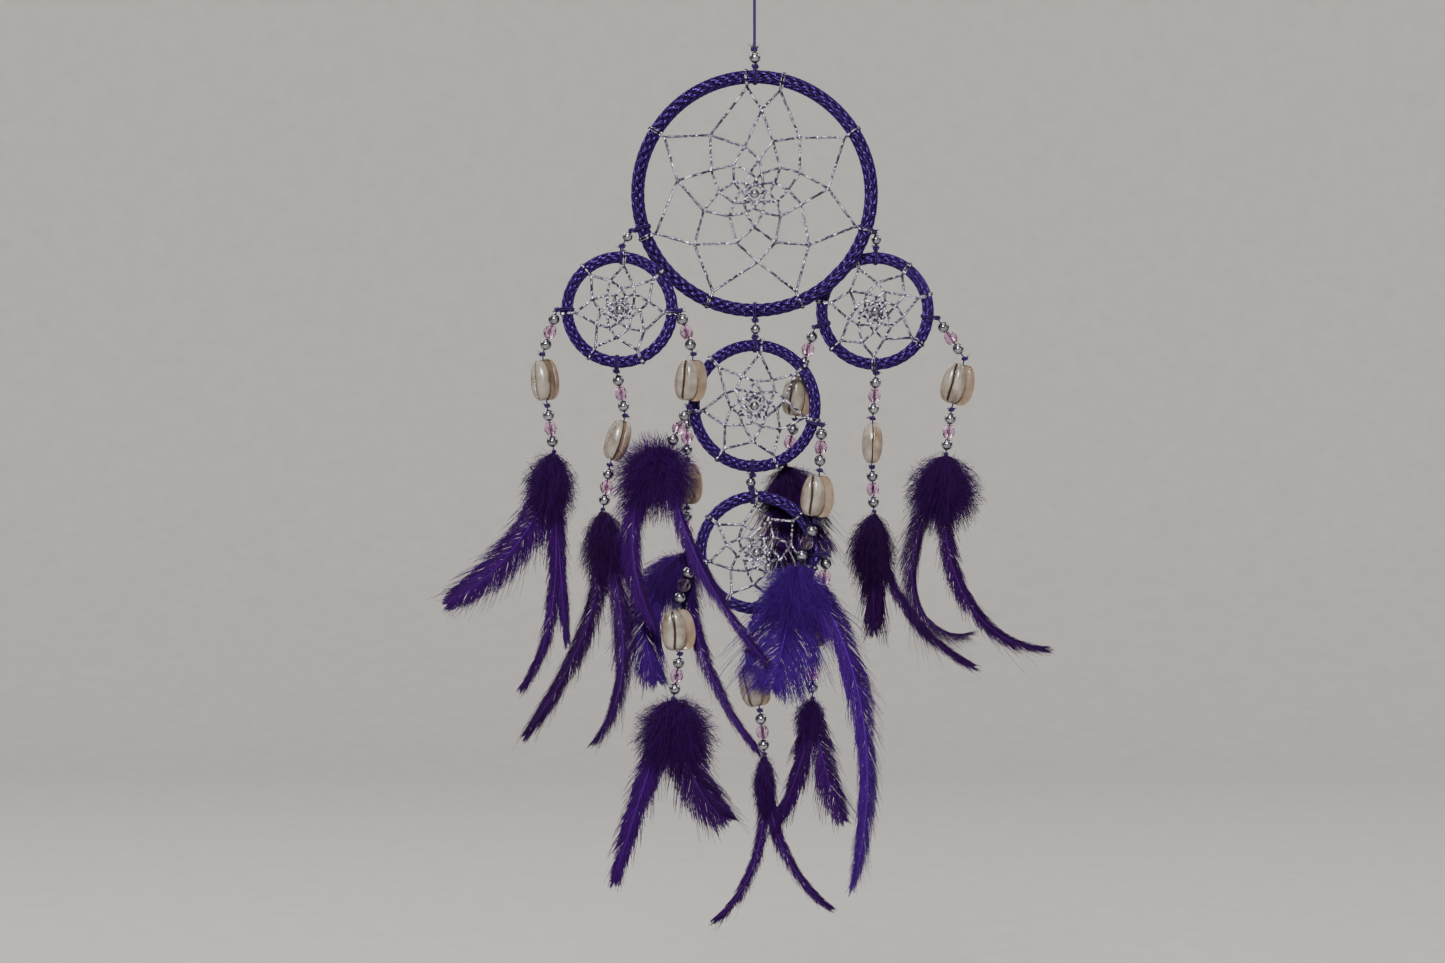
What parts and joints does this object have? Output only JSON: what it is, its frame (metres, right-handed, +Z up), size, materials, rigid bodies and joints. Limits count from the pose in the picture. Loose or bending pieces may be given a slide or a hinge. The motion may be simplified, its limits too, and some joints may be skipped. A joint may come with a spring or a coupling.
{
  "type": "dream catcher",
  "caption": "Hanging ornament: a large wrapped hoop with a woven net carries smaller netted hoops, beaded threads with cowrie shells, and dyed feathers.",
  "frame": {"origin": "inner top of the hanging loop, where a hook or nail carries it", "axes": "+Z up along the hanging cord, +X to the right as seen from the front, -Y towards the viewer; the hoops hang in the XZ plane"},
  "size_m": [0.2697, 0.0273, 0.4396],
  "materials": {
    "purple_cord": "satin wound rayon cord",
    "web_thread": "metallic silver twisted thread",
    "silver_bead": "polished silver-coated bead",
    "crystal_bead": "clear faceted pink",
    "cowrie": "glossy natural shell",
    "feather": "dyed feather",
    "steel": "plain wire ring"
  },
  "bodies": {
    "hanger": {"hanging_cord": "purple_cord"},
    "top_link": {"top_bead": "silver_bead", "top_tie": "purple_cord"},
    "main_hoop": {"main_hoop_core": "steel", "main_hoop_wrap": "purple_cord", "main_hoop_web": "web_thread", "main_hoop_web_bead": "silver_bead"},
    "left_hoop": {"left_link": "silver_bead", "left_hoop_core": "steel", "left_hoop_wrap": "purple_cord", "left_hoop_web": "web_thread", "left_hoop_web_bead": "silver_bead"},
    "right_hoop": {"right_link": "silver_bead", "right_hoop_core": "steel", "right_hoop_wrap": "purple_cord", "right_hoop_web": "web_thread", "right_hoop_web_bead": "silver_bead"},
    "centre_hoop": {"centre_link": "silver_bead", "centre_hoop_core": "steel", "centre_hoop_wrap": "purple_cord", "centre_hoop_web": "web_thread", "centre_hoop_web_bead": "silver_bead"},
    "bottom_hoop": {"bottom_link": "silver_bead", "bottom_hoop_core": "steel", "bottom_hoop_wrap": "purple_cord", "bottom_hoop_web": "web_thread", "bottom_hoop_web_bead": "silver_bead"},
    "left_outer": {"left_outer_thread": "purple_cord", "left_outer_charms": "silver_bead", "left_outer_feathers": "feather"},
    "left_lower": {"left_lower_thread": "purple_cord", "left_lower_charms": "silver_bead", "left_lower_feathers": "feather"},
    "left_inner": {"left_inner_thread": "purple_cord", "left_inner_charms": "silver_bead", "left_inner_feathers": "feather"},
    "right_inner": {"right_inner_thread": "purple_cord", "right_inner_charms": "silver_bead", "right_inner_feathers": "feather"},
    "right_lower": {"right_lower_thread": "purple_cord", "right_lower_charms": "silver_bead", "right_lower_feathers": "feather"},
    "right_outer": {"right_outer_thread": "purple_cord", "right_outer_charms": "silver_bead", "right_outer_feathers": "feather"},
    "centre_left": {"centre_left_thread": "purple_cord", "centre_left_charms": "silver_bead", "centre_left_feathers": "feather"},
    "centre_right": {"centre_right_thread": "purple_cord", "centre_right_charms": "silver_bead", "centre_right_feathers": "feather"},
    "bottom_left": {"bottom_left_thread": "purple_cord", "bottom_left_charms": "silver_bead", "bottom_left_feathers": "feather"},
    "bottom_right": {"bottom_right_thread": "purple_cord", "bottom_right_charms": "silver_bead", "bottom_right_feathers": "feather"},
    "bottom_lower": {"bottom_lower_thread": "purple_cord", "bottom_lower_charms": "silver_bead", "bottom_lower_feathers": "feather"}
  },
  "joints": [
    {"name": "cord_twist", "type": "hinge", "parent": "hanger", "child": "top_link", "pos_m": [0, 0, -0.045], "axis": [0, 0, 1], "range_deg": [-180, 180]},
    {"name": "main_hoop_swing", "type": "hinge", "parent": "top_link", "child": "main_hoop", "pos_m": [0.0003, 0, -0.0532], "axis": [1, 0, 0], "range_deg": [-30, 30]},
    {"name": "left_hoop_swing", "type": "hinge", "parent": "main_hoop", "child": "left_hoop", "pos_m": [-0.0548, -0.0037, -0.1274], "axis": [1, 0, 0], "range_deg": [-25, 0]},
    {"name": "right_hoop_swing", "type": "hinge", "parent": "main_hoop", "child": "right_hoop", "pos_m": [0.054, 0.0034, -0.1274], "axis": [1, 0, 0], "range_deg": [0, 25]},
    {"name": "centre_hoop_sway", "type": "hinge", "parent": "main_hoop", "child": "centre_hoop", "pos_m": [0.0002, 0, -0.1676], "axis": [0, 1, 0], "range_deg": [-5, 5]},
    {"name": "bottom_hoop_sway", "type": "hinge", "parent": "centre_hoop", "child": "bottom_hoop", "pos_m": [-0.001, 0, -0.2372], "axis": [0, 1, 0], "range_deg": [-5, 5]},
    {"name": "left_outer_swing", "type": "hinge", "parent": "left_hoop", "child": "left_outer", "pos_m": [-0.0885, -0.0052, -0.163], "axis": [1, 0, 0], "range_deg": [-25, 25]},
    {"name": "left_lower_swing", "type": "hinge", "parent": "left_hoop", "child": "left_lower", "pos_m": [-0.062, -0.003, -0.1905], "axis": [1, 0, 0], "range_deg": [-25, 0]},
    {"name": "left_inner_swing", "type": "hinge", "parent": "left_hoop", "child": "left_inner", "pos_m": [-0.0335, -0.0086, -0.1635], "axis": [1, 0, 0], "range_deg": [-25, 0]},
    {"name": "right_inner_swing", "type": "hinge", "parent": "right_hoop", "child": "right_inner", "pos_m": [0.0275, 0.0086, -0.17], "axis": [1, 0, 0], "range_deg": [0, 25]},
    {"name": "right_lower_swing", "type": "hinge", "parent": "right_hoop", "child": "right_lower", "pos_m": [0.055, 0.0063, -0.191], "axis": [1, 0, 0], "range_deg": [-25, 25]},
    {"name": "right_outer_swing", "type": "hinge", "parent": "right_hoop", "child": "right_outer", "pos_m": [0.0825, 0.0063, -0.166], "axis": [1, 0, 0], "range_deg": [-25, 25]},
    {"name": "centre_left_swing", "type": "hinge", "parent": "centre_hoop", "child": "centre_left", "pos_m": [-0.0305, 0.0086, -0.2095], "axis": [1, 0, 0], "range_deg": [0, 25]},
    {"name": "centre_right_swing", "type": "hinge", "parent": "centre_hoop", "child": "centre_right", "pos_m": [0.03, -0.0086, -0.2145], "axis": [1, 0, 0], "range_deg": [-25, 0]},
    {"name": "bottom_left_swing", "type": "hinge", "parent": "bottom_hoop", "child": "bottom_left", "pos_m": [-0.0285, 0, -0.277], "axis": [1, 0, 0], "range_deg": [-25, 0]},
    {"name": "bottom_right_swing", "type": "hinge", "parent": "bottom_hoop", "child": "bottom_right", "pos_m": [0.0325, 0, -0.2725], "axis": [1, 0, 0], "range_deg": [0, 25]},
    {"name": "bottom_lower_swing", "type": "hinge", "parent": "bottom_hoop", "child": "bottom_lower", "pos_m": [0, 0, -0.3015], "axis": [1, 0, 0], "range_deg": [0, 25]}
  ]
}
